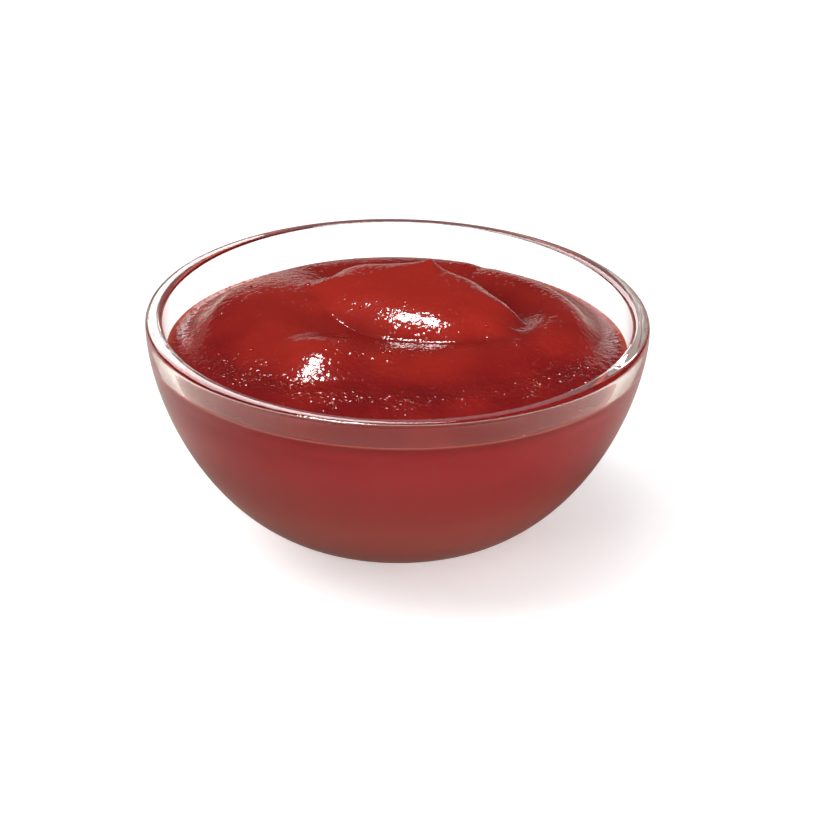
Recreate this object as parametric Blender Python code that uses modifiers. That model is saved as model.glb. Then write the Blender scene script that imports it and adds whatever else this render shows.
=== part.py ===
"""A small clear glass bowl, filled with thick red hot sauce that a spoon has swirled into a mound.

Units are metres, +Z is up, and the origin is the centre of the bowl's foot, on the table.
The swirl faces the viewer along -Y: its soft peak lies behind the centre, at +Y.
"""

import math

import bpy
import numpy as np

# Bowl, pressed glass
RIM_RADIUS = 0.0525
BOWL_HEIGHT = 0.0458
FOOT_RADIUS = 0.0195
RIM_WALL = 0.0036
LIP_HEIGHT = 0.0013
LIP_POWER = 3.0
FLOOR_THICKNESS = 0.0048
INNER_FLOOR_RADIUS = 0.0150
WALL_POWER_RADIAL = 1.75
WALL_POWER_UPRIGHT = 1.64
FOOT_RING_INNER = 0.0150
FOOT_RECESS_RADIUS = 0.0130
FOOT_RECESS_DEPTH = 0.0008

# Sauce
SAUCE_BELOW_RIM = 0.0083
SAUCE_GAP = 0.0003
MOUND_RISE = 0.0042
EDGE_CLIMB = 0.0012
EDGE_CLIMB_LEAN = 0.0010
EDGE_CLIMB_WIDTH = 0.0020
EDGE_TROUGH_WIDTH = 0.0085

# Swirl: a ribbon of sauce laid once round, counted anticlockwise from +X, around a pillow in the middle
RIBBON_CENTRE_X = 0.0020
RIBBON_CENTRE_Y = 0.0120
RIBBON_REACH_X = 0.0330
RIBBON_REACH_Y = 0.0250
RIBBON_START_ANGLE = math.radians(70)
RIBBON_TURN = math.radians(345)
RIBBON_DRAWN_IN = 0.06
RIBBON_HEIGHT = 0.0052
RIBBON_FRONT_EXTRA = 0.0006
RIBBON_BULGE_NARROW = 0.0100
RIBBON_BULGE_WIDE = 0.0240
RIBBON_WIDEST_AT = math.radians(165)
RIBBON_SAMPLES = 120
RIBBON_BLEND = 0.0022
PILLOW_X = 0.0038
PILLOW_Y = 0.0101
PILLOW_LENGTH = 0.0245
PILLOW_WIDTH = 0.0153
PILLOW_TURN = math.radians(-27)
PILLOW_HEIGHT = 0.0105
PILLOW_DROP = 0.0062
PILLOW_LEAN_BACK = 0.0011
PILLOW_LEAN_LEFT = 0.0010
PILLOW_FRONT_POWER = 3.0
PILLOW_BACK_POWER = 5.0
PILLOW_WAVES = 9
PILLOW_WAVE_DEPTH = 0.02
CREASE_BLEND = 0.0006
CREASE_BLEND_AT_ENDS = 0.0032
CREASE_END_POWER = 6
PEAK_X = 0.0068
PEAK_Y = 0.0215
PEAK_RISE = 0.0024
PEAK_WIDTH = 0.0026
# Lumps where the spoon slowed down: x, y, height and bulge
SPOON_LUMPS = ((-0.0163, -0.0120, 0.0058, 0.0068), (-0.0215, 0.0130, 0.0060, 0.0220))
LUMP_BLEND = 0.0075

# Mesh
SIDES = 64
WALL_STEPS = 11
LIP_STEPS = 6
TOP_RINGS = 28
MERGE = 0.00001
SMALLEST = 0.000001
SHARP_ANGLE = math.radians(35)

GLASS_COLOUR = (0.92, 0.93, 0.92, 1.0)
SAUCE_COLOUR = (0.36, 0.020, 0.013, 1.0)


def clear_scene():
    for obj in list(bpy.data.objects):
        bpy.data.objects.remove(obj)


def material(name, colour, roughness, transmission=0.0):
    made = bpy.data.materials.new(name)
    made.use_nodes = True
    shader = made.node_tree.nodes["Principled BSDF"]
    shader.inputs["Base Color"].default_value = colour
    shader.inputs["Roughness"].default_value = roughness
    shader.inputs["Metallic"].default_value = 0.0
    shader.inputs["Transmission Weight"].default_value = transmission
    made.diffuse_color = colour
    return made


def wall_curve(foot, rim, bottom, top, last=math.pi / 2, steps=WALL_STEPS):
    """The bowl's side as a rounded quarter, from the foot's edge up to the rim: (radius, height) pairs."""
    points = []
    for i in range(steps + 1):
        turn = last * i / steps
        out = math.sin(turn) ** (2 / WALL_POWER_RADIAL)
        up = 1 - max(math.cos(turn), 0.0) ** (2 / WALL_POWER_UPRIGHT)
        points.append((foot + (rim - foot) * out, bottom + (top - bottom) * up))
    return points


def lip_curve():
    """The fire-polished lip, nearly flat on top, from the outer wall over to the inner one."""
    points = []
    for i in range(1, LIP_STEPS):
        turn = math.pi * i / LIP_STEPS
        out = math.copysign(abs(math.cos(turn)) ** (2 / LIP_POWER), math.cos(turn))
        up = math.sin(turn) ** (2 / LIP_POWER)
        points.append((RIM_RADIUS - RIM_WALL / 2 * (1 - out), BOWL_HEIGHT - LIP_HEIGHT * (1 - up)))
    return points


def turned(name, profile):
    """A solid turned round Z from a (radius, height) profile that runs down its outer side."""
    mesh = bpy.data.meshes.new(name)
    points = [(radius, 0.0, height) for radius, height in profile]
    mesh.from_pydata(points, [(i, i + 1) for i in range(len(points) - 1)], [])
    obj = bpy.data.objects.new(name, mesh)
    bpy.context.scene.collection.objects.link(obj)
    screw = obj.modifiers.new("turn", "SCREW")
    screw.axis = "Z"
    screw.angle = math.tau
    screw.steps = SIDES
    screw.render_steps = SIDES
    screw.use_merge_vertices = True
    screw.merge_threshold = MERGE
    return obj


def apply_modifiers(obj):
    """Replaces the object's mesh by its evaluated one, so that its points can be moved."""
    graph = bpy.context.evaluated_depsgraph_get()
    made = bpy.data.meshes.new_from_object(obj.evaluated_get(graph))
    obj.modifiers.clear()
    old = obj.data
    obj.data = made
    bpy.data.meshes.remove(old)


def inner_wall(gap, last=math.pi / 2, steps=WALL_STEPS):
    """The bowl's inner side, or the sauce's outer one where a gap is given."""
    return wall_curve(
        INNER_FLOOR_RADIUS,
        RIM_RADIUS - RIM_WALL - gap,
        FLOOR_THICKNESS + gap,
        BOWL_HEIGHT - LIP_HEIGHT,
        last,
        steps,
    )


def turn_at_height(height, gap):
    """How far round inner_wall's curve has come where it reaches a height."""
    bottom = FLOOR_THICKNESS + gap
    share = (height - bottom) / (BOWL_HEIGHT - LIP_HEIGHT - bottom)
    return np.arccos((1 - share) ** (WALL_POWER_UPRIGHT / 2))


def inner_radius(height, gap):
    """The radius of inner_wall's curve at a height."""
    reach = RIM_RADIUS - RIM_WALL - gap - INNER_FLOOR_RADIUS
    return INNER_FLOOR_RADIUS + reach * np.sin(turn_at_height(height, gap)) ** (2 / WALL_POWER_RADIAL)


def make_bowl():
    outer = wall_curve(FOOT_RADIUS, RIM_RADIUS, 0.0, BOWL_HEIGHT - LIP_HEIGHT)
    inner = inner_wall(0.0)
    foot = [
        (FOOT_RING_INNER, 0.0),
        (FOOT_RECESS_RADIUS, FOOT_RECESS_DEPTH),
        (0.0, FOOT_RECESS_DEPTH),
    ]
    profile = [(0.0, FLOOR_THICKNESS), *inner, *reversed(lip_curve()), *reversed(outer), *foot]
    bowl = turned("bowl", profile)
    apply_modifiers(bowl)
    bowl.data.shade_smooth()
    bowl.data.set_sharp_from_angle(angle=SHARP_ANGLE)
    return bowl


def ribbon_height(x, y):
    """Height of the ribbon's round back over each point: the highest of the bulges strung along its route."""
    highest = np.full_like(x, -1.0)
    for along in np.linspace(0.0, 1.0, RIBBON_SAMPLES):
        angle = RIBBON_START_ANGLE + RIBBON_TURN * along
        reach = 1 - RIBBON_DRAWN_IN * along
        away_x = x - RIBBON_CENTRE_X - RIBBON_REACH_X * reach * math.cos(angle)
        away_y = y - RIBBON_CENTRE_Y - RIBBON_REACH_Y * reach * math.sin(angle)
        wide = (1 + math.cos(angle - RIBBON_WIDEST_AT)) / 2
        bulge = RIBBON_BULGE_NARROW + (RIBBON_BULGE_WIDE - RIBBON_BULGE_NARROW) * wide
        crest = RIBBON_HEIGHT - RIBBON_FRONT_EXTRA * math.sin(angle)
        highest = np.maximum(highest, crest - (away_x**2 + away_y**2) / (2 * bulge))
    return highest


def pillow(x, y):
    """Height of the pillow that the ribbon curls into, and how far towards its two ends each point lies."""
    along = (x - PILLOW_X) * math.cos(PILLOW_TURN) + (y - PILLOW_Y) * math.sin(PILLOW_TURN)
    across = (y - PILLOW_Y) * math.cos(PILLOW_TURN) - (x - PILLOW_X) * math.sin(PILLOW_TURN)
    along, across = along / PILLOW_LENGTH, across / PILLOW_WIDTH
    out = np.maximum(np.hypot(along, across), SMALLEST)
    out *= 1 + PILLOW_WAVE_DEPTH * np.sin(PILLOW_WAVES * np.arctan2(across, along))
    power = PILLOW_FRONT_POWER + (PILLOW_BACK_POWER - PILLOW_FRONT_POWER) * (1 + across / out) / 2
    height = PILLOW_HEIGHT + PILLOW_LEAN_BACK * across - PILLOW_LEAN_LEFT * along - PILLOW_DROP * out**power
    height += PEAK_RISE * np.exp(-np.hypot(x - PEAK_X, y - PEAK_Y) / PEAK_WIDTH)
    return height, (along / out) ** CREASE_END_POWER


def smooth_max(a, b, blend):
    """The higher of two surfaces, with the crease between them filled to a small round."""
    near = np.clip(1 - np.abs(a - b) / blend, 0.0, 1.0)
    return np.maximum(a, b) + blend * near**2 / 4


def edge_climb(x, y):
    """How far the sauce clings up the glass in each point's direction: more at the front than at the back."""
    return EDGE_CLIMB - EDGE_CLIMB_LEAN * y / np.maximum(np.hypot(x, y), SMALLEST)


def relief(x, y, wall_radius):
    """Height of the sauce's surface above its edge on the glass."""
    out = np.hypot(x, y) / wall_radius
    inward = wall_radius * (1 - out)
    height = smooth_max(MOUND_RISE * (1 - out**2), ribbon_height(x, y), RIBBON_BLEND)
    for lump_x, lump_y, lump_height, bulge in SPOON_LUMPS:
        lump = lump_height - ((x - lump_x) ** 2 + (y - lump_y) ** 2) / (2 * bulge)
        height = smooth_max(height, lump, LUMP_BLEND)
    middle, at_ends = pillow(x, y)
    height = smooth_max(height, middle, CREASE_BLEND + (CREASE_BLEND_AT_ENDS - CREASE_BLEND) * at_ends)
    fade = np.clip(inward / EDGE_TROUGH_WIDTH, 0.0, 1.0)
    return height * fade**2 * (3 - 2 * fade) + edge_climb(x, y) * np.exp(-inward / EDGE_CLIMB_WIDTH)


def make_sauce():
    level = BOWL_HEIGHT - SAUCE_BELOW_RIM
    side = inner_wall(SAUCE_GAP, turn_at_height(level, SAUCE_GAP), WALL_STEPS - 2)
    wall_radius = side[-1][0]
    top = [(wall_radius * i / TOP_RINGS, level) for i in range(TOP_RINGS)]
    sauce = turned("sauce", [*top, *reversed(side), (0.0, side[0][1])])
    apply_modifiers(sauce)
    points = np.empty(len(sauce.data.vertices) * 3)
    sauce.data.vertices.foreach_get("co", points)
    points = points.reshape(-1, 3)
    on_top = points[:, 2] > level - MERGE
    contact = inner_radius(level + edge_climb(points[on_top, 0], points[on_top, 1]), SAUCE_GAP)
    points[on_top, :2] *= (contact / wall_radius)[:, None]
    points[on_top, 2] += relief(points[on_top, 0], points[on_top, 1], contact)
    sauce.data.vertices.foreach_set("co", points.ravel())
    sauce.data.update()
    sauce.data.shade_smooth()
    return sauce


def main():
    clear_scene()
    collection = bpy.data.collections.new("sauce_bowl")
    bpy.context.scene.collection.children.link(collection)
    finishes = {
        "bowl": material("clear_glass", GLASS_COLOUR, 0.03, transmission=1.0),
        "sauce": material("red_sauce", SAUCE_COLOUR, 0.16),
    }
    for obj in (make_bowl(), make_sauce()):
        bpy.context.scene.collection.objects.unlink(obj)
        collection.objects.link(obj)
        obj.data.materials.append(finishes[obj.name])


main()
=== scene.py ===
# %% [markdown]
# # A glass bowl of swirled hot sauce
# The real object is two things: a small pressed-glass bowl, and the thick red sauce that fills it nearly
# to the rim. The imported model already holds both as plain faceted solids, at their real size and place.
# This lesson dresses them. It replaces each solid with a finer piece of the same form, adds the small
# bubbles that stirring leaves and the lumps of pulp, and gives glass and sauce their finishes. Everything
# is in metres, +Z is up, and the origin is the centre of the bowl's foot.

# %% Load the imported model
import math

import bmesh
import bpy
import numpy as np
from mathutils import Matrix, Vector


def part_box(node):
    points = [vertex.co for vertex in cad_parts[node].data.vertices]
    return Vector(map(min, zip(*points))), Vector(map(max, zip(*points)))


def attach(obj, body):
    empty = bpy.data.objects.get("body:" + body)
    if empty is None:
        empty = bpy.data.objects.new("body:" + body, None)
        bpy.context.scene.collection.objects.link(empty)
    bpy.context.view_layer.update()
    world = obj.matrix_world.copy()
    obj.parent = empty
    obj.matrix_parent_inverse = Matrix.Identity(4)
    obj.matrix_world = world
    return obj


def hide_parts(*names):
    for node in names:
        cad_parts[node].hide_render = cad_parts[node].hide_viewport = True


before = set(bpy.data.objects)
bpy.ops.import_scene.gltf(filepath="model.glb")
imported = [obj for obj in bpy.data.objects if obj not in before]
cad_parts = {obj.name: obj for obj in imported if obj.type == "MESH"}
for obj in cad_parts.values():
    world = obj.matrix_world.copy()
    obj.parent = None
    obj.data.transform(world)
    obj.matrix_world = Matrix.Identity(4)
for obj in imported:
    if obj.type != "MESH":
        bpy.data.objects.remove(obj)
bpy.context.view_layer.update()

print("nodes:", sorted(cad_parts))

# %% [markdown]
# ## Driving sizes
# The rim's radius and the bowl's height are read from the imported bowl, so that they can't drift from it.
# The other sizes of the two solids are given once here, in metres, and every piece below is worked out
# from them.

# %% Sizes of the bowl
bowl_low, bowl_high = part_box("bowl")
RIM_RADIUS = bowl_high.x
BOWL_HEIGHT = bowl_high.z
FOOT_RADIUS = 0.0195
RIM_WALL = 0.0036
LIP_HEIGHT = 0.0013
LIP_POWER = 3.0
FLOOR_THICKNESS = 0.0048
INNER_FLOOR_RADIUS = 0.0150
WALL_POWER_RADIAL = 1.75
WALL_POWER_UPRIGHT = 1.64
FOOT_RING_INNER = 0.0150
FOOT_RECESS_RADIUS = 0.0130
FOOT_RECESS_DEPTH = 0.0008
print(f"rim {2000 * RIM_RADIUS:.1f} mm across, {1000 * (BOWL_HEIGHT - bowl_low.z):.1f} mm above the foot")

# %% [markdown]
# ## Turned shapes
# Bowl and sauce are both turned round the same axis, so both start as a profile: a list of points in
# the plane of the axis. A point is a radius and a height. The wall follows a rounded quarter that is a
# little squarer than an ellipse, which one formula gives at any fineness. The Screw modifier turns a
# profile into a solid. It needs the profile to run down the outer side, or the faces point inwards.

# %% The wall's curve
def wall_curve(foot, rim, bottom, top, steps, last=math.pi / 2):
    """The bowl's side as a rounded quarter, from the foot's edge up to the rim: (radius, height) pairs."""
    points = []
    for i in range(steps + 1):
        turn = last * i / steps
        out = math.sin(turn) ** (2 / WALL_POWER_RADIAL)
        up = 1 - max(math.cos(turn), 0.0) ** (2 / WALL_POWER_UPRIGHT)
        points.append((foot + (rim - foot) * out, bottom + (top - bottom) * up))
    return points


def inner_wall(into_glass, steps, last=math.pi / 2):
    """The bowl's inner side, moved outwards into the glass by the given depth."""
    rim = RIM_RADIUS - RIM_WALL + into_glass
    bottom = FLOOR_THICKNESS - into_glass
    return wall_curve(INNER_FLOOR_RADIUS, rim, bottom, BOWL_HEIGHT - LIP_HEIGHT, steps, last)


def turn_at_height(height, into_glass):
    """How far round the inner wall's curve has come where it reaches a height."""
    bottom = FLOOR_THICKNESS - into_glass
    share = (height - bottom) / (BOWL_HEIGHT - LIP_HEIGHT - bottom)
    return np.arccos((1 - share) ** (WALL_POWER_UPRIGHT / 2))


def inner_radius(height, into_glass):
    """The inner wall's radius at a height."""
    reach = RIM_RADIUS - RIM_WALL + into_glass - INNER_FLOOR_RADIUS
    return INNER_FLOOR_RADIUS + reach * np.sin(turn_at_height(height, into_glass)) ** (2 / WALL_POWER_RADIAL)


print(f"inner wall half way up: {1000 * inner_radius(BOWL_HEIGHT / 2, 0.0):.1f} mm from the axis")


# %% Turn a profile into a mesh
MERGE = 0.000001


def turned(name, profile, sides):
    """A mesh object turned round Z from a profile, with the Screw modifier already applied."""
    mesh = bpy.data.meshes.new(name)
    points = [(radius, 0.0, height) for radius, height in profile]
    mesh.from_pydata(points, [(i, i + 1) for i in range(len(points) - 1)], [])
    obj = bpy.data.objects.new(name, mesh)
    bpy.context.scene.collection.objects.link(obj)
    screw = obj.modifiers.new("turn", "SCREW")
    screw.axis = "Z"
    screw.angle = math.tau
    screw.steps = sides
    screw.render_steps = sides
    screw.use_merge_vertices = True
    screw.merge_threshold = MERGE
    graph = bpy.context.evaluated_depsgraph_get()
    obj.data = bpy.data.meshes.new_from_object(obj.evaluated_get(graph))
    obj.modifiers.clear()
    bpy.data.meshes.remove(mesh)
    obj.data.shade_smooth()
    print(f"{name}: {len(obj.data.polygons)} faces")
    return obj


def mesh_points(mesh):
    """A mesh's points as rows of x, y and z."""
    points = np.empty(len(mesh.vertices) * 3)
    mesh.vertices.foreach_get("co", points)
    return points.reshape(-1, 3)


# %% [markdown]
# ## The glass bowl
# A pressed bowl leaves its mould with a flat, slightly rough edge, and a flame then melts its corners
# round. So the lip is half a squared-off ellipse, nearly flat on top, and the foot's ring has small
# rounded corners where the mould's parts met. Rounded corners matter more on glass than on anything
# else: each one gathers light into a thin line.

# %% Make the bowl
BOWL_SIDES = 192
WALL_STEPS = 48
LIP_STEPS = 20
CORNER_RADIUS = 0.0004
CORNER_STEPS = 5


def lip_curve(steps):
    """The lip, nearly flat on top, from the outer wall over to the inner one: (radius, height) pairs."""
    points = []
    for i in range(1, steps):
        turn = math.pi * i / steps
        out = math.copysign(abs(math.cos(turn)) ** (2 / LIP_POWER), math.cos(turn))
        up = math.sin(turn) ** (2 / LIP_POWER)
        points.append((RIM_RADIUS - RIM_WALL / 2 * (1 - out), BOWL_HEIGHT - LIP_HEIGHT * (1 - up)))
    return points


def rounded(before, corner, after):
    """The points of a small arc that replaces a corner between two straight stretches of a profile."""
    start = Vector(corner) + (Vector(before) - Vector(corner)).normalized() * CORNER_RADIUS
    end = Vector(corner) + (Vector(after) - Vector(corner)).normalized() * CORNER_RADIUS
    shares = [i / CORNER_STEPS for i in range(CORNER_STEPS + 1)]
    return [tuple(start * (1 - s) ** 2 + Vector(corner) * 2 * s * (1 - s) + end * s * s) for s in shares]


def bowl_profile():
    outer = wall_curve(FOOT_RADIUS, RIM_RADIUS, 0.0, BOWL_HEIGHT - LIP_HEIGHT, WALL_STEPS)
    ring = (FOOT_RING_INNER, 0.0)
    recess = (FOOT_RECESS_RADIUS, FOOT_RECESS_DEPTH)
    middle = (0.0, FOOT_RECESS_DEPTH)
    foot = [*rounded(outer[0], ring, recess), *rounded(ring, recess, middle), middle]
    inner = inner_wall(0.0, WALL_STEPS)
    return [(0.0, FLOOR_THICKNESS), *inner, *reversed(lip_curve(LIP_STEPS)), *reversed(outer), *foot]


bowl = turned("glass_bowl", bowl_profile(), BOWL_SIDES)

# %% [markdown]
# ## The swirl
# A spoon stirred this sauce. It left a thick ribbon laid once round the bowl, and a plump pillow in the
# middle with a small peak where the spoon came out. The surface is worked out as a height over each
# point. Every lump has its own round back, and the highest one wins, which gives real creases where two
# lumps meet. A small fillet fills each crease, because thick sauce sags into it.

# %% Sizes of the sauce
SAUCE_BELOW_RIM = 0.0083
SAUCE_LEVEL = BOWL_HEIGHT - SAUCE_BELOW_RIM
INTO_GLASS = 0.00015
SAUCE_RADIUS = inner_radius(SAUCE_LEVEL, INTO_GLASS)
MOUND_RISE = 0.0042
EDGE_CLIMB = 0.0012
EDGE_CLIMB_LEAN = 0.0010
EDGE_CLIMB_WIDTH = 0.0020
EDGE_TROUGH_WIDTH = 0.0085
RIBBON_CENTRE = (0.0020, 0.0120)
RIBBON_REACH = (0.0330, 0.0250)
RIBBON_START_ANGLE = math.radians(70)
RIBBON_TURN = math.radians(345)
RIBBON_DRAWN_IN = 0.06
RIBBON_HEIGHT = 0.0052
RIBBON_FRONT_EXTRA = 0.0006
RIBBON_BULGE_NARROW = 0.0100
RIBBON_BULGE_WIDE = 0.0240
RIBBON_WIDEST_AT = math.radians(165)
RIBBON_SAMPLES = 240
RIBBON_BLEND = 0.0022
PILLOW_CENTRE = (0.0038, 0.0101)
PILLOW_SIZE = (0.0245, 0.0153)
PILLOW_TURN = math.radians(-27)
PILLOW_HEIGHT = 0.0105
PILLOW_DROP = 0.0062
PILLOW_LEAN_BACK = 0.0011
PILLOW_LEAN_LEFT = 0.0010
PILLOW_FRONT_POWER = 3.0
PILLOW_BACK_POWER = 5.0
PILLOW_WAVES = 9
PILLOW_WAVE_DEPTH = 0.02
CREASE_BLEND = 0.0006
CREASE_BLEND_AT_ENDS = 0.0032
CREASE_END_POWER = 6
PEAK = (0.0068, 0.0215)
PEAK_RISE = 0.0024
PEAK_WIDTH = 0.0026
SPOON_LUMPS = ((-0.0163, -0.0120, 0.0058, 0.0068), (-0.0215, 0.0130, 0.0060, 0.0220))
LUMP_BLEND = 0.0075
SMALLEST = 0.000001
print(f"sauce: level {1000 * SAUCE_LEVEL:.1f} mm above the foot, {2000 * SAUCE_RADIUS:.1f} mm across there")


# %% The swirl's height
def ribbon_height(x, y):
    """Height of the ribbon's round back over each point: the highest of the bulges strung along its route."""
    highest = np.full_like(x, -1.0)
    for along in np.linspace(0.0, 1.0, RIBBON_SAMPLES):
        angle = RIBBON_START_ANGLE + RIBBON_TURN * along
        reach = 1 - RIBBON_DRAWN_IN * along
        away_x = x - RIBBON_CENTRE[0] - RIBBON_REACH[0] * reach * math.cos(angle)
        away_y = y - RIBBON_CENTRE[1] - RIBBON_REACH[1] * reach * math.sin(angle)
        wide = (1 + math.cos(angle - RIBBON_WIDEST_AT)) / 2
        bulge = RIBBON_BULGE_NARROW + (RIBBON_BULGE_WIDE - RIBBON_BULGE_NARROW) * wide
        crest = RIBBON_HEIGHT - RIBBON_FRONT_EXTRA * math.sin(angle)
        highest = np.maximum(highest, crest - (away_x**2 + away_y**2) / (2 * bulge))
    return highest


def pillow_height(x, y):
    """Height of the pillow over each point, and how far towards its two ends the point lies."""
    off_x, off_y = x - PILLOW_CENTRE[0], y - PILLOW_CENTRE[1]
    along = (off_x * math.cos(PILLOW_TURN) + off_y * math.sin(PILLOW_TURN)) / PILLOW_SIZE[0]
    across = (off_y * math.cos(PILLOW_TURN) - off_x * math.sin(PILLOW_TURN)) / PILLOW_SIZE[1]
    out = np.maximum(np.hypot(along, across), SMALLEST)
    out *= 1 + PILLOW_WAVE_DEPTH * np.sin(PILLOW_WAVES * np.arctan2(across, along))
    power = PILLOW_FRONT_POWER + (PILLOW_BACK_POWER - PILLOW_FRONT_POWER) * (1 + across / out) / 2
    height = PILLOW_HEIGHT + PILLOW_LEAN_BACK * across - PILLOW_LEAN_LEFT * along - PILLOW_DROP * out**power
    height += PEAK_RISE * np.exp(-np.hypot(x - PEAK[0], y - PEAK[1]) / PEAK_WIDTH)
    return height, (along / out) ** CREASE_END_POWER


def smooth_max(a, b, blend):
    """The higher of two surfaces, with the crease between them filled to a small round."""
    near = np.clip(1 - np.abs(a - b) / blend, 0.0, 1.0)
    return np.maximum(a, b) + blend * near**2 / 4


def edge_climb(x, y):
    """How far the sauce clings up the glass in each point's direction: more at the front than at the back."""
    return EDGE_CLIMB - EDGE_CLIMB_LEAN * y / np.maximum(np.hypot(x, y), SMALLEST)


def swirl(x, y, wall_radius):
    """Height of the sauce's surface above its resting level."""
    out = np.hypot(x, y) / wall_radius
    inward = wall_radius * (1 - out)
    height = smooth_max(MOUND_RISE * (1 - out**2), ribbon_height(x, y), RIBBON_BLEND)
    for lump_x, lump_y, lump_height, bulge in SPOON_LUMPS:
        lump = lump_height - ((x - lump_x) ** 2 + (y - lump_y) ** 2) / (2 * bulge)
        height = smooth_max(height, lump, LUMP_BLEND)
    middle, at_ends = pillow_height(x, y)
    height = smooth_max(height, middle, CREASE_BLEND + (CREASE_BLEND_AT_ENDS - CREASE_BLEND) * at_ends)
    fade = np.clip(inward / EDGE_TROUGH_WIDTH, 0.0, 1.0)
    return height * fade**2 * (3 - 2 * fade) + edge_climb(x, y) * np.exp(-inward / EDGE_CLIMB_WIDTH)


peak_height = swirl(np.array([PEAK[0]]), np.array([PEAK[1]]), SAUCE_RADIUS)[0]
print(f"the peak stands {1000 * peak_height:.1f} mm above the level")

# %% [markdown]
# ## The sauce
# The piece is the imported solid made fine: the same profile with many more rings, its top spread out to
# the wall where it clings to it, and lifted by the swirl's height. Its side reaches a little way into
# the glass. With a gap there, light would bounce off the hidden air and the glass would look silvery.
# With no gap the sauce shows right through the wall, swollen by the glass to the bowl's full outline,
# as it does on the real thing.

# %% Make the sauce
SAUCE_SIDES = 320
SAUCE_SIDE_STEPS = 22
TOP_RINGS = 220


def make_sauce():
    side = inner_wall(INTO_GLASS, SAUCE_SIDE_STEPS, turn_at_height(SAUCE_LEVEL, INTO_GLASS))
    wall_radius = side[-1][0]
    top = [(wall_radius * i / TOP_RINGS, SAUCE_LEVEL) for i in range(TOP_RINGS)]
    obj = turned("hot_sauce", [*top, *reversed(side), (0.0, side[0][1])], SAUCE_SIDES)
    points = mesh_points(obj.data)
    on_top = points[:, 2] > SAUCE_LEVEL - MERGE
    contact = inner_radius(SAUCE_LEVEL + edge_climb(points[on_top, 0], points[on_top, 1]), INTO_GLASS)
    points[on_top, :2] *= (contact / wall_radius)[:, None]
    points[on_top, 2] += swirl(points[on_top, 0], points[on_top, 1], contact)
    obj.data.vertices.foreach_set("co", points.ravel())
    obj.data.update()
    print(f"sauce: highest point {1000 * points[:, 2].max():.1f} mm above the foot")
    return obj


sauce = make_sauce()

# %% [markdown]
# ## Finishes
# Three finishes share one texture: the sauce in the open, the same sauce pressed against the glass, and
# the skins of the bubbles and lumps. What they share is the pulp, so the pulp is a node group with named
# inputs. It puts out a height for the bump and a mask for the flecks, and each finish turns them into
# colour and roughness with values of its own.

# %% A new material
def new_material(name):
    made = bpy.data.materials.new(name)
    made.use_nodes = True
    print("material:", name)
    return made, made.node_tree.nodes, made.node_tree.links


def map_range(nodes, links, value, low, high, to_low=0.0, to_high=1.0):
    """Turn a value between low and high into one between to_low and to_high, with soft ends."""
    node = nodes.new("ShaderNodeMapRange")
    node.interpolation_type = "SMOOTHSTEP"
    node.inputs["From Min"].default_value = low
    node.inputs["From Max"].default_value = high
    node.inputs["To Min"].default_value = to_low
    node.inputs["To Max"].default_value = to_high
    links.new(value, node.inputs["Value"])
    return node.outputs["Result"]


def calculate(nodes, links, operation, first, second):
    """A Math node on two values. Each may be a number or another node's output."""
    node = nodes.new("ShaderNodeMath")
    node.operation = operation
    for socket, value in zip(node.inputs, (first, second)):
        if isinstance(value, (int, float)):
            socket.default_value = value
        else:
            links.new(value, socket)
    return node.outputs["Value"]


def mix_colours(nodes, links, share, first, second):
    """Blend two colours. Each may be an RGB triple or another node's output."""
    node = nodes.new("ShaderNodeMix")
    node.data_type = "RGBA"
    links.new(share, node.inputs["Factor"])
    for name, value in (("A", first), ("B", second)):
        socket = next(s for s in node.inputs if s.name == name and s.type == "RGBA")
        if isinstance(value, tuple):
            socket.default_value = (*value, 1.0)
        else:
            links.new(value, socket)
    return next(s for s in node.outputs if s.type == "RGBA")


# %% The pulp, shared by the sauce's finishes
PULP_LUMPS_PER_METRE = 760
PULP_PATCHES_PER_METRE = 130
GRAIN_DETAIL = 2.0
LUMP_MIDDLE = 0.12
LUMP_EDGE = 0.50
PATCH_STARTS_AT = 0.46
PATCH_IS_FULL_AT = 0.62
LUMPS_OVER_GRAIN = 0.5


def make_pulp():
    group = bpy.data.node_groups.new("sauce_pulp", "ShaderNodeTree")
    sockets = group.interface
    sockets.new_socket("Vector", in_out="INPUT", socket_type="NodeSocketVector")
    sockets.new_socket("Lumps per Metre", in_out="INPUT", socket_type="NodeSocketFloat")
    sockets.new_socket("Patches per Metre", in_out="INPUT", socket_type="NodeSocketFloat")
    sockets.new_socket("Height", in_out="OUTPUT", socket_type="NodeSocketFloat")
    sockets.new_socket("Flecks", in_out="OUTPUT", socket_type="NodeSocketFloat")
    nodes, links = group.nodes, group.links
    given = nodes.new("NodeGroupInput")
    result = nodes.new("NodeGroupOutput")
    grain = nodes.new("ShaderNodeTexNoise")
    grain.inputs["Detail"].default_value = GRAIN_DETAIL
    links.new(given.outputs["Vector"], grain.inputs["Vector"])
    links.new(given.outputs["Lumps per Metre"], grain.inputs["Scale"])
    cells = nodes.new("ShaderNodeTexVoronoi")
    links.new(given.outputs["Vector"], cells.inputs["Vector"])
    links.new(given.outputs["Lumps per Metre"], cells.inputs["Scale"])
    patches = nodes.new("ShaderNodeTexNoise")
    links.new(given.outputs["Vector"], patches.inputs["Vector"])
    links.new(given.outputs["Patches per Metre"], patches.inputs["Scale"])
    lumps = map_range(nodes, links, cells.outputs["Distance"], LUMP_MIDDLE, LUMP_EDGE, 1.0, 0.0)
    where = map_range(nodes, links, patches.outputs["Fac"], PATCH_STARTS_AT, PATCH_IS_FULL_AT)
    flecks = calculate(nodes, links, "MULTIPLY", lumps, where)
    stand = calculate(nodes, links, "MULTIPLY", flecks, LUMPS_OVER_GRAIN)
    height = calculate(nodes, links, "ADD", grain.outputs["Fac"], stand)
    links.new(height, result.inputs["Height"])
    links.new(flecks, result.inputs["Flecks"])
    print("pulp group:", len(nodes), "nodes")
    return group


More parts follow.
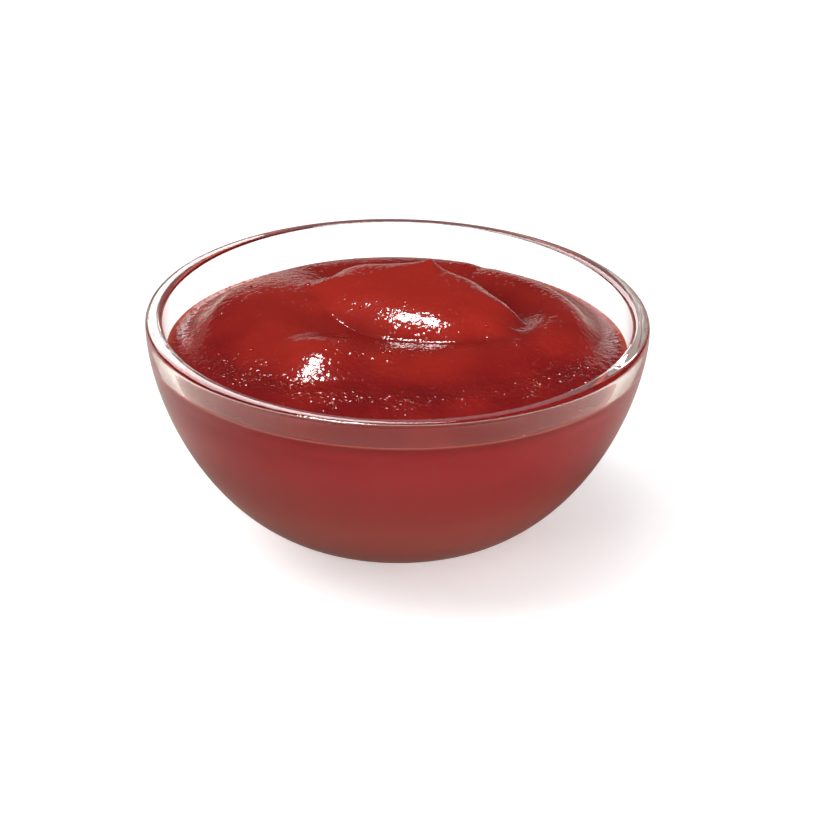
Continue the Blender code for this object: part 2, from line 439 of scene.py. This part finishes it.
pulp = make_pulp()

# %% [markdown]
# ## The sauce's colour
# Hot sauce is not one red. Where it stands proud it is warmer and lighter, and in the troughs it is a
# deep crimson. Part of that is the light that scatters back out of the thin pulp, and part is painted
# light on the raised parts and painted shade in the troughs. Where it clings to the wall it thins to an
# orange rim. So the colour is mixed from the height of the surface, from the distance to the wall, and
# from the pulp.
# The gloss comes from the shader, and the pulp's bump breaks each highlight into small sparkles. The bump
# is stronger where the sauce is frothy, which the surface itself says in an attribute named foam. That is
# worked out below, where the bubbles are made.

# %% Make the sauce's finish
# The warm red is partly painted light on the raised parts, and the deep red partly painted shade in the
# troughs. Both also make the random patches of tone.
DEEP_RED = (0.146, 0.0058, 0.0058)
WARM_RED = (0.272, 0.0155, 0.0096)
PULP_RED = (0.330, 0.0300, 0.0140)
EDGE_ORANGE = (0.280, 0.0340, 0.0160)
EDGE_WIDTH = 0.0016
PAINTED_LIGHT_FULL_ABOVE_LEVEL = 0.009
BROAD_PATCHES = 70
NOISE_LOW = 0.30
NOISE_HIGH = 0.70
BROAD_PATCH_SHARE = 0.25
FLECK_SHARE = 0.12
SAUCE_IOR = 1.4
SAUCE_ROUGHNESS = 0.11
FLECK_ROUGHNESS = 0.24
PULP_BUMP = 0.00015
FROTH_ROUGHER = 3.0


def sauce_colour(nodes, links, deep, warm):
    """The sauce's colour over its surface, and the pulp node behind it."""
    place = nodes.new("ShaderNodeTexCoord")
    grain = nodes.new("ShaderNodeGroup")
    grain.node_tree = pulp
    grain.inputs["Lumps per Metre"].default_value = PULP_LUMPS_PER_METRE
    grain.inputs["Patches per Metre"].default_value = PULP_PATCHES_PER_METRE
    links.new(place.outputs["Object"], grain.inputs["Vector"])
    parts = nodes.new("ShaderNodeSeparateXYZ")
    links.new(place.outputs["Object"], parts.inputs["Vector"])
    broad = nodes.new("ShaderNodeTexNoise")
    broad.inputs["Scale"].default_value = BROAD_PATCHES
    links.new(place.outputs["Object"], broad.inputs["Vector"])
    # Painted light and shade by height: the higher the surface, the warmer and lighter the red.
    painted_light_by_height = map_range(nodes, links, parts.outputs["Z"], SAUCE_LEVEL, SAUCE_LEVEL + PAINTED_LIGHT_FULL_ABOVE_LEVEL)
    noise, most = broad.outputs["Fac"], BROAD_PATCH_SHARE
    patch = map_range(nodes, links, noise, NOISE_LOW, NOISE_HIGH, -most, most)
    colour = mix_colours(nodes, links, calculate(nodes, links, "ADD", painted_light_by_height, patch), deep, warm)
    fleck_share = calculate(nodes, links, "MULTIPLY", grain.outputs["Flecks"], FLECK_SHARE)
    return mix_colours(nodes, links, fleck_share, colour, PULP_RED), grain


def distance_from_axis(nodes, links, place):
    """How far a point of the surface is from the bowl's axis."""
    flat = nodes.new("ShaderNodeVectorMath")
    flat.operation = "MULTIPLY"
    flat.inputs[1].default_value = (1.0, 1.0, 0.0)
    links.new(place.outputs["Object"], flat.inputs[0])
    length = nodes.new("ShaderNodeVectorMath")
    length.operation = "LENGTH"
    links.new(flat.outputs["Vector"], length.inputs[0])
    return length.outputs["Value"]


def make_sauce_finish():
    made, nodes, links = new_material("hot_sauce")
    shader = nodes["Principled BSDF"]
    colour, grain = sauce_colour(nodes, links, DEEP_RED, WARM_RED)
    reach = distance_from_axis(nodes, links, nodes.new("ShaderNodeTexCoord"))
    edge = map_range(nodes, links, reach, SAUCE_RADIUS - EDGE_WIDTH, SAUCE_RADIUS)
    colour = mix_colours(nodes, links, edge, colour, EDGE_ORANGE)
    links.new(colour, shader.inputs["Base Color"])
    shader.inputs["IOR"].default_value = SAUCE_IOR
    flecks = grain.outputs["Flecks"]
    rough = map_range(nodes, links, flecks, 0.0, 1.0, SAUCE_ROUGHNESS, FLECK_ROUGHNESS)
    links.new(rough, shader.inputs["Roughness"])
    bump = nodes.new("ShaderNodeBump")
    bump.inputs["Distance"].default_value = PULP_BUMP
    froth = nodes.new("ShaderNodeAttribute")
    froth.attribute_name = "foam"
    rougher = calculate(nodes, links, "MULTIPLY", froth.outputs["Fac"], FROTH_ROUGHER)
    stronger = calculate(nodes, links, "ADD", rougher, 1.0)
    links.new(calculate(nodes, links, "MULTIPLY", grain.outputs["Height"], stronger), bump.inputs["Height"])
    links.new(bump.outputs["Normal"], shader.inputs["Normal"])
    return made


# %% [markdown]
# ## The sauce against the glass
# Sauce that touches glass has no surface of its own left to shine: the gloss is the glass's. It also
# looks lighter, because the light that it scatters isn't thrown back at a boundary with air. So the
# side of the sauce has a second finish, with the same colour nodes, no gloss and a lighter red. Just
# under the level, where most light falls on it, its red is deepest, darkened by painted shade. At the
# foot, where the glass is thick and curved and lays a veil over it, its red is palest, paled by painted
# light and a painted reflection of the floor. At its top, where only a thin film is left on the glass,
# it turns to a pale line, partly the film's own colour and partly a painted highlight.

# %% Make the finish behind the glass
SIDE_DEEP_RED = (0.186, 0.0100, 0.0100)
SIDE_WARM_RED = (0.210, 0.0125, 0.0120)
# Painted shade: the side's red darkened just under the level, where most light falls on it.
SIDE_PAINTED_SHADE_RED = (0.130, 0.0052, 0.0058)
# Painted light and a painted reflection of the floor: the side's red paled towards the foot.
SIDE_PAINTED_VEIL_RED = (0.250, 0.0480, 0.0380)
PAINTED_SHADE_FROM = 0.029
PAINTED_VEIL_STARTS_AT = 0.030
PAINTED_VEIL_FULL_AT = 0.010
# A pale line at the top: partly the thin film's own colour, partly a painted highlight.
FILM_AND_HIGHLIGHT_RED = (0.300, 0.0700, 0.0500)
FILM_AND_HIGHLIGHT_DEPTH = 0.0007
FILM_AND_HIGHLIGHT_DEPTH_AT_BACK = 0.0030
FILM_AND_HIGHLIGHT_DEEPEST_FROM = 0.7
SIDE_ROUGHNESS = 0.7
SIDE_FLECK_ROUGHNESS = 0.9
SIDE = 1


def height_and_backness(nodes, links):
    """A point's height as if the contact line were level, and how far back it is, from -1 to 1."""
    place = nodes.new("ShaderNodeTexCoord")
    parts = nodes.new("ShaderNodeSeparateXYZ")
    links.new(place.outputs["Object"], parts.inputs["Vector"])
    reach = distance_from_axis(nodes, links, place)
    backness = calculate(nodes, links, "DIVIDE", parts.outputs["Y"], reach)
    lean = calculate(nodes, links, "MULTIPLY", backness, EDGE_CLIMB_LEAN)
    return calculate(nodes, links, "ADD", parts.outputs["Z"], lean), backness


def film_and_highlight_depth(nodes, links, backness):
    """How far down the pale line of film and painted highlight reaches: least on the front half, and most at
    the back.
    """
    return map_range(nodes, links, backness, 0.0, FILM_AND_HIGHLIGHT_DEEPEST_FROM, FILM_AND_HIGHLIGHT_DEPTH, FILM_AND_HIGHLIGHT_DEPTH_AT_BACK)


def make_side_finish():
    made, nodes, links = new_material("hot_sauce_behind_glass")
    shader = nodes["Principled BSDF"]
    colour, grain = sauce_colour(nodes, links, SIDE_DEEP_RED, SIDE_WARM_RED)
    height, backness = height_and_backness(nodes, links)
    top = SAUCE_LEVEL + EDGE_CLIMB
    # Painted shade, darkening the red just under the level.
    high = map_range(nodes, links, height, PAINTED_SHADE_FROM, top)
    colour = mix_colours(nodes, links, high, colour, SIDE_PAINTED_SHADE_RED)
    # Painted light and a painted reflection of the floor, paling the red towards the foot.
    low = map_range(nodes, links, height, PAINTED_VEIL_FULL_AT, PAINTED_VEIL_STARTS_AT, 1.0, 0.0)
    colour = mix_colours(nodes, links, low, colour, SIDE_PAINTED_VEIL_RED)
    # The pale line at the top: partly the thin film, partly a painted highlight.
    below = calculate(nodes, links, "SUBTRACT", height, top)
    share = calculate(nodes, links, "DIVIDE", below, film_and_highlight_depth(nodes, links, backness))
    film_and_highlight = map_range(nodes, links, share, -1.0, 0.0)
    links.new(mix_colours(nodes, links, film_and_highlight, colour, FILM_AND_HIGHLIGHT_RED), shader.inputs["Base Color"])
    shader.inputs["Specular IOR Level"].default_value = 0.0
    flecks = grain.outputs["Flecks"]
    rough = map_range(nodes, links, flecks, 0.0, 1.0, SIDE_ROUGHNESS, SIDE_FLECK_ROUGHNESS)
    links.new(rough, shader.inputs["Roughness"])
    return made


sauce.data.materials.append(make_sauce_finish())
sauce.data.materials.append(make_side_finish())
for face in sauce.data.polygons:
    if face.normal.z < 0:
        face.material_index = SIDE
print("side faces:", sum(face.material_index == SIDE for face in sauce.data.polygons))

# %% [markdown]
# ## The bubbles and the lumps of pulp
# Stirring folds air into the sauce, and the air rises as small bubbles that stand half out of the
# surface. Lumps of pulp lie among them, and only their backs stand out. Both gather along the foot of the
# front slope and in the groove above it. They repeat, so Geometry Nodes place them: points are scattered
# over the top of the sauce, each point gets a small ball of random size, and the balls are made real. One
# tree does for both, because a lump is a ball that is sunk most of the way. How dense they are comes from
# the attribute named foam. Each seed is fixed, so they lie in the same place each time.

# %% Where the bubbles and lumps gather
BUBBLES = {"per_square_metre": 90000, "smallest": 0.00010, "largest": 0.00042, "sunk": 0.0, "seed": 4}
LUMPS = {"per_square_metre": 90000, "smallest": 0.00060, "largest": 0.00200, "sunk": 0.72, "seed": 9}
SHORE = (0.0390, 0.0285)
SHORE_WIDTH = 0.10
GROOVE = (-0.0045, -0.0130)
GROOVE_REACH = (0.0090, 0.0025)
FRONT_SHARPNESS = 2
SHORE_SHARE = 0.9
GROOVE_SHARE = 0.5
SHARE_EVERYWHERE = 0.04


def foam(x, y):
    """Share of the full number at a point: most on the front shore, fewer in the groove, few elsewhere."""
    out = np.hypot(x / SHORE[0], y / SHORE[1])
    front = np.clip(-y / SHORE[1] / out * FRONT_SHARPNESS, 0.0, 1.0)
    shore = np.exp(-(((out - 1) / SHORE_WIDTH) ** 2)) * front
    groove = np.exp(-(((x - GROOVE[0]) / GROOVE_REACH[0]) ** 2) - ((y - GROOVE[1]) / GROOVE_REACH[1]) ** 2)
    return np.clip(SHORE_SHARE * shore + GROOVE_SHARE * groove + SHARE_EVERYWHERE, 0.0, 1.0)


def mark_foam():
    """Write the share into the sauce's mesh. The tiny step keeps the axis from dividing nought by nought."""
    points = mesh_points(sauce.data)
    shares = foam(points[:, 0], points[:, 1] + SMALLEST)
    sauce.data.attributes.new("foam", "FLOAT", "POINT").data.foreach_set("value", shares)
    print(f"foam: {shares.min():.2f} to {shares.max():.2f} of the full number")


mark_foam()

# %% The tree that scatters them
SMALL_ONES_FAVOURED = 3.0
BALL_SUBDIVISIONS = 2


def make_scatter_tree(name, finish):
    tree = bpy.data.node_groups.new(name, "GeometryNodeTree")
    tree.is_modifier = True
    sockets = tree.interface
    sockets.new_socket("Geometry", in_out="INPUT", socket_type="NodeSocketGeometry")
    sockets.new_socket("Balls per Square Metre", in_out="INPUT", socket_type="NodeSocketFloat")
    sockets.new_socket("Smallest Radius", in_out="INPUT", socket_type="NodeSocketFloat")
    sockets.new_socket("Largest Radius", in_out="INPUT", socket_type="NodeSocketFloat")
    sockets.new_socket("Sunk Share", in_out="INPUT", socket_type="NodeSocketFloat")
    sockets.new_socket("Seed", in_out="INPUT", socket_type="NodeSocketInt")
    sockets.new_socket("Geometry", in_out="OUTPUT", socket_type="NodeSocketGeometry")
    nodes, links = tree.nodes, tree.links
    given = nodes.new("NodeGroupInput")
    result = nodes.new("NodeGroupOutput")
    dense = nodes.new("GeometryNodeInputNamedAttribute")
    dense.data_type = "FLOAT"
    dense.inputs["Name"].default_value = "foam"
    full = given.outputs["Balls per Square Metre"]
    density = calculate(nodes, links, "MULTIPLY", dense.outputs["Attribute"], full)
    scatter = nodes.new("GeometryNodeDistributePointsOnFaces")
    links.new(given.outputs["Geometry"], scatter.inputs["Mesh"])
    links.new(density, scatter.inputs["Density"])
    links.new(given.outputs["Seed"], scatter.inputs["Seed"])
    draw = nodes.new("FunctionNodeRandomValue")
    draw.data_type = "FLOAT"
    links.new(given.outputs["Seed"], draw.inputs["Seed"])
    share = calculate(nodes, links, "POWER", draw.outputs[1], SMALL_ONES_FAVOURED)
    least, most = given.outputs["Smallest Radius"], given.outputs["Largest Radius"]
    grown = calculate(nodes, links, "MULTIPLY", share, calculate(nodes, links, "SUBTRACT", most, least))
    radius = calculate(nodes, links, "ADD", grown, least)
    ball = nodes.new("GeometryNodeMeshIcoSphere")
    ball.inputs["Radius"].default_value = 1.0
    ball.inputs["Subdivisions"].default_value = BALL_SUBDIVISIONS
    down = nodes.new("ShaderNodeCombineXYZ")
    links.new(calculate(nodes, links, "MULTIPLY", given.outputs["Sunk Share"], -1.0), down.inputs["Z"])
    sink = nodes.new("GeometryNodeTransform")
    links.new(ball.outputs["Mesh"], sink.inputs["Geometry"])
    links.new(down.outputs["Vector"], sink.inputs["Translation"])
    place = nodes.new("GeometryNodeInstanceOnPoints")
    links.new(scatter.outputs["Points"], place.inputs["Points"])
    links.new(scatter.outputs["Rotation"], place.inputs["Rotation"])
    links.new(sink.outputs["Geometry"], place.inputs["Instance"])
    links.new(radius, place.inputs["Scale"])
    real = nodes.new("GeometryNodeRealizeInstances")
    links.new(place.outputs["Instances"], real.inputs["Geometry"])
    smooth = nodes.new("GeometryNodeSetShadeSmooth")
    links.new(real.outputs["Geometry"], smooth.inputs["Geometry"])
    dress = nodes.new("GeometryNodeSetMaterial")
    dress.inputs["Material"].default_value = finish
    links.new(smooth.outputs["Geometry"], dress.inputs["Geometry"])
    links.new(dress.outputs["Geometry"], result.inputs["Geometry"])
    print(f"{name}: {len(nodes)} nodes")
    return tree


# %% Make the bubbles and the lumps
LOW_GRAIN = 0.3
HIGH_GRAIN = 0.9
SKIN_ROUGHNESS = 0.04
SKIN_ROUGHNESS_ON_GRAIN = 0.12
FACES_PER_BALL = 20 * 4 ** (BALL_SUBDIVISIONS - 1)


def make_bubble_finish():
    made, nodes, links = new_material("bubble_skin")
    shader = nodes["Principled BSDF"]
    colour, grain = sauce_colour(nodes, links, DEEP_RED, WARM_RED)
    links.new(colour, shader.inputs["Base Color"])
    shader.inputs["IOR"].default_value = SAUCE_IOR
    height = grain.outputs["Height"]
    rough = map_range(nodes, links, height, LOW_GRAIN, HIGH_GRAIN, SKIN_ROUGHNESS, SKIN_ROUGHNESS_ON_GRAIN)
    links.new(rough, shader.inputs["Roughness"])
    return made


def make_scatter(name, finish, sizes):
    """Balls strewn over the top of the sauce. Its copied mesh is the ground, and isn't kept."""
    mesh = sauce.data.copy()
    surface = bmesh.new()
    surface.from_mesh(mesh)
    bmesh.ops.delete(surface, geom=[f for f in surface.faces if f.material_index == SIDE], context="FACES")
    surface.to_mesh(mesh)
    surface.free()
    mesh.materials.clear()
    obj = bpy.data.objects.new(name, mesh)
    bpy.context.scene.collection.objects.link(obj)
    scatter = obj.modifiers.new("scatter", "NODES")
    scatter.node_group = make_scatter_tree(name, finish)
    # The first input is the mesh itself, so the sizes start at the second.
    inputs = [s for s in scatter.node_group.interface.items_tree if s.in_out == "INPUT"][1:]
    for socket, value in zip(inputs, sizes.values()):
        scatter[socket.identifier] = value
    graph = bpy.context.evaluated_depsgraph_get()
    obj.data = bpy.data.meshes.new_from_object(obj.evaluated_get(graph))
    obj.modifiers.clear()
    bpy.data.meshes.remove(mesh)
    print(f"{name}: {len(obj.data.polygons) // FACES_PER_BALL} balls, {len(obj.data.polygons)} faces")
    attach(obj, "root")


skin = make_bubble_finish()
make_scatter("bubbles", skin, BUBBLES)
make_scatter("pulp_lumps", skin, LUMPS)

# %% [markdown]
# ## The glass
# Clear glass has hardly any colour of its own. What makes it look pressed and not cut is a faint
# waviness, which the mould leaves and which bends each reflection a little. The glass is one shader with
# full transmission. A shadow ray sees it as clear, because real glass casts bright, not black, shadows.

# %% Make the glass's finish
GLASS_TINT = (0.985, 0.985, 0.98, 1.0)
GLASS_IOR = 1.5
GLASS_WAVES = 90
GLASS_WAVE_DETAIL = 1.0
GLASS_WAVE_HEIGHT = 0.00006


def make_glass_finish():
    made, nodes, links = new_material("clear_glass")
    shader = nodes["Principled BSDF"]
    shader.inputs["Base Color"].default_value = GLASS_TINT
    shader.inputs["Roughness"].default_value = 0.0
    shader.inputs["IOR"].default_value = GLASS_IOR
    shader.inputs["Transmission Weight"].default_value = 1.0
    place = nodes.new("ShaderNodeTexCoord")
    waves = nodes.new("ShaderNodeTexNoise")
    waves.inputs["Scale"].default_value = GLASS_WAVES
    waves.inputs["Detail"].default_value = GLASS_WAVE_DETAIL
    links.new(place.outputs["Object"], waves.inputs["Vector"])
    bump = nodes.new("ShaderNodeBump")
    bump.inputs["Distance"].default_value = GLASS_WAVE_HEIGHT
    links.new(waves.outputs["Fac"], bump.inputs["Height"])
    links.new(bump.outputs["Normal"], shader.inputs["Normal"])
    clear = nodes.new("ShaderNodeBsdfTransparent")
    path = nodes.new("ShaderNodeLightPath")
    mix = nodes.new("ShaderNodeMixShader")
    links.new(path.outputs["Is Shadow Ray"], mix.inputs["Fac"])
    links.new(shader.outputs["BSDF"], mix.inputs[1])
    links.new(clear.outputs["BSDF"], mix.inputs[2])
    links.new(mix.outputs["Shader"], nodes["Material Output"].inputs["Surface"])
    return made


bowl.data.materials.append(make_glass_finish())
for piece, node, slot in ((bowl, "bowl", "glass"), (sauce, "sauce", "sauce")):
    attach(piece, "root")
    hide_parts(node)
print("materials:", [material.name for material in bpy.data.materials])

# %% [markdown]
# ## The stage
# The floor is plain and pale, and the light is a soft studio's: a dim room, a large overhead light for
# the colours, and small ones that only show as highlights. Polished things show the room, so the room
# is given three strengths, told apart by the path of the ray that meets it: what lights the dull
# surfaces, what gloss mirrors, and what is seen through the bent edges of the glass. The floor is
# white straight on and through one wall of glass, and a warm grey in mirrors and through thick glass,
# or a white veil would lie on the whole bowl. In mirrors it carries a painted shadow under the bowl, and
# painted light at its two sides, as a table has between two windows. It also glows a little, which
# softens the bowl's shadow.

# %% The floor
FLOOR_SIZE = 12.0
FLOOR_WHITE = (0.88, 0.88, 0.88)
FLOOR_MIRRORED = (0.46, 0.40, 0.36)
# Painted light at the bowl's two sides, seen only in mirrors.
FLOOR_MIRRORED_PAINTED_LIGHT = (1.00, 0.92, 0.86)
# A painted shadow of the bowl under it, seen only in mirrors.
FLOOR_MIRRORED_PAINTED_SHADOW = (0.24, 0.20, 0.17)
PAINTED_LIGHT_STARTS_AT = 0.045
PAINTED_LIGHT_ENDS_AT = 0.120
PAINTED_SHADOW_STARTS_AT = 0.065
PAINTED_SHADOW_ENDS_AT = 0.045
FLOOR_ROUGHNESS = 0.9
FLOOR_GLOW = 0.35
NEVER = 0.5
ONE_WALL = 2.5


def ray_met(nodes, links, path, kind, times):
    """One where the ray has met more surfaces of a kind than the given number, and nought elsewhere."""
    return calculate(nodes, links, "GREATER_THAN", path.outputs[kind], times)


def mirrored_floor(nodes, links):
    """The floor's colour in mirrors: painted light at the bowl's two sides, a painted shadow under it, and
    grey elsewhere.
    """
    place = nodes.new("ShaderNodeTexCoord")
    parts = nodes.new("ShaderNodeSeparateXYZ")
    links.new(place.outputs["Object"], parts.inputs["Vector"])
    sideways = calculate(nodes, links, "ABSOLUTE", parts.outputs["X"], 0.0)
    # Painted light at the two sides.
    painted_light_share = map_range(nodes, links, sideways, PAINTED_LIGHT_STARTS_AT, PAINTED_LIGHT_ENDS_AT)
    colour = mix_colours(nodes, links, painted_light_share, FLOOR_MIRRORED, FLOOR_MIRRORED_PAINTED_LIGHT)
    away = nodes.new("ShaderNodeVectorMath")
    away.operation = "LENGTH"
    links.new(place.outputs["Object"], away.inputs[0])
    # A painted shadow under the bowl.
    painted_shadow_share = map_range(nodes, links, away.outputs["Value"], PAINTED_SHADOW_ENDS_AT, PAINTED_SHADOW_STARTS_AT, 1.0, 0.0)
    return mix_colours(nodes, links, painted_shadow_share, colour, FLOOR_MIRRORED_PAINTED_SHADOW)


def make_floor():
    bpy.ops.mesh.primitive_plane_add(size=FLOOR_SIZE, location=(0, 0, 0))
    floor = bpy.context.object
    floor.name = "floor"
    made, nodes, links = new_material("pale_floor")
    shader = nodes["Principled BSDF"]
    path = nodes.new("ShaderNodeLightPath")
    mirrored = ray_met(nodes, links, path, "Glossy Depth", NEVER)
    thick = ray_met(nodes, links, path, "Transmission Depth", ONE_WALL)
    share = calculate(nodes, links, "MAXIMUM", mirrored, thick)
    colour = mix_colours(nodes, links, share, FLOOR_WHITE, mirrored_floor(nodes, links))
    links.new(colour, shader.inputs["Base Color"])
    links.new(colour, shader.inputs["Emission Color"])
    shader.inputs["Emission Strength"].default_value = FLOOR_GLOW
    shader.inputs["Roughness"].default_value = FLOOR_ROUGHNESS
    floor.data.materials.append(made)


make_floor()
print("floor:", FLOOR_SIZE, "m square")


# %% The room
ROOM_LIGHT = (0.72, 0.72, 0.72)
ROOM_IN_MIRRORS = (0.04, 0.04, 0.045)
ROOM_THROUGH_GLASS = (0.34, 0.28, 0.24)


def make_room():
    world = bpy.data.worlds.new("studio")
    world.use_nodes = True
    bpy.context.scene.world = world
    nodes, links = world.node_tree.nodes, world.node_tree.links
    path = nodes.new("ShaderNodeLightPath")
    mirrored = ray_met(nodes, links, path, "Glossy Depth", NEVER)
    in_glass = ray_met(nodes, links, path, "Transmission Depth", NEVER)
    behind = calculate(nodes, links, "MULTIPLY", mirrored, in_glass)
    glazed = calculate(nodes, links, "MAXIMUM", behind, path.outputs["Is Transmission Ray"])
    colour = mix_colours(nodes, links, mirrored, ROOM_LIGHT, ROOM_IN_MIRRORS)
    colour = mix_colours(nodes, links, glazed, colour, ROOM_THROUGH_GLASS)
    links.new(colour, nodes["Background"].inputs["Color"])


make_room()
print("room:", ROOM_LIGHT, ROOM_IN_MIRRORS, ROOM_THROUGH_GLASS)


# %% [markdown]
# ## The lights
# Some lamps light the colours and don't show as highlights, and some only show as highlights. One faint
# card, low behind the bowl, does both. The rim card stands behind the bowl on the left, where the lip
# mirrors it as a white crescent, and the weaker lip card stands where the lip's flat top mirrors it all
# round. Both light only the glass, or the sauce's own gloss would show them too.

# %% The lights
glass_only = bpy.data.collections.new("lit_glass")
glass_only.objects.link(bowl)


def softbox(name, place, size, power, colours=True, highlights=True, only=None):
    """A flat lamp that faces the middle of the rim, and may light colours, show as a highlight, or both."""
    data = bpy.data.lights.new(name, "AREA")
    data.shape = "RECTANGLE"
    data.size, data.size_y = size
    data.energy = power
    obj = bpy.data.objects.new(name, data)
    bpy.context.scene.collection.objects.link(obj)
    obj.location = place
    obj.rotation_euler = (Vector((0, 0, BOWL_HEIGHT)) - Vector(place)).to_track_quat("-Z", "Y").to_euler()
    obj.visible_diffuse = colours
    obj.visible_glossy = highlights
    obj.visible_camera = False
    obj.light_linking.receiver_collection = only
    print(f"{name}: {power} W, colours {colours}, highlights {highlights}")


softbox("overhead_light", (-0.75, 0.15, 1.15), (0.9, 0.9), 12.5, highlights=False)
softbox("front_fill", (0.8, -0.9, 0.12), (0.5, 0.2), 9, highlights=False)
softbox("left_fill", (-0.8, -0.5, 0.30), (0.5, 0.3), 3, highlights=False)
softbox("window_light", (-0.19, 0.12, 0.95), (0.21, 0.21), 12, colours=False)
softbox("rim_card", (-0.53, 1.05, 0.90), (1.2, 0.85), 19, colours=False, only=glass_only)
softbox("lip_card", (-0.05, 1.32, 0.66), (1.25, 0.60), 1.6, colours=False, only=glass_only)
softbox("low_back_card", (0.17, 1.6, 0.16), (0.95, 0.26), 0.42)

# %% [markdown]
# ## The camera
# It looks down at the bowl from the photograph's angle, with a little roll. The lens is worked out from
# the scale of the picture at the rim, and the shift puts the rim's centre where the photograph has it.

# %% The camera
CAMERA_DISTANCE = 1.050
CAMERA_HEIGHT_ANGLE = math.radians(24.3)
CAMERA_ROLL = 0.016
PICTURE_SIDE = 840
PIXELS_PER_METRE = 4810
RIM_CENTRE_PIXEL = (397.7, 316.5)
MOST_BOUNCES = 24
GLOSSY_BOUNCES = 16


def make_camera():
    data = bpy.data.cameras.new("camera")
    camera = bpy.data.objects.new("camera", data)
    bpy.context.scene.collection.objects.link(camera)
    aim = Vector((0, 0, BOWL_HEIGHT))
    back = Vector((0, -math.cos(CAMERA_HEIGHT_ANGLE), math.sin(CAMERA_HEIGHT_ANGLE)))
    place = Matrix.Translation(aim + back * CAMERA_DISTANCE)
    tilt = Matrix.Rotation(math.pi / 2 - CAMERA_HEIGHT_ANGLE, 4, "X")
    roll = Matrix.Rotation(CAMERA_ROLL, 4, "Z")
    camera.matrix_world = place @ tilt @ roll
    data.lens = data.sensor_width * PIXELS_PER_METRE * CAMERA_DISTANCE / PICTURE_SIDE
    data.shift_x = 0.5 - RIM_CENTRE_PIXEL[0] / PICTURE_SIDE
    data.shift_y = RIM_CENTRE_PIXEL[1] / PICTURE_SIDE - 0.5
    bpy.context.scene.camera = camera
    return camera


camera = make_camera()
bpy.context.scene.view_settings.view_transform = "Standard"
bpy.context.scene.cycles.max_bounces = MOST_BOUNCES
bpy.context.scene.cycles.glossy_bounces = GLOSSY_BOUNCES
bpy.context.scene.cycles.transmission_bounces = MOST_BOUNCES
print(f"lens {camera.data.lens:.0f} mm, shift {camera.data.shift_x:.3f}, {camera.data.shift_y:.3f}")
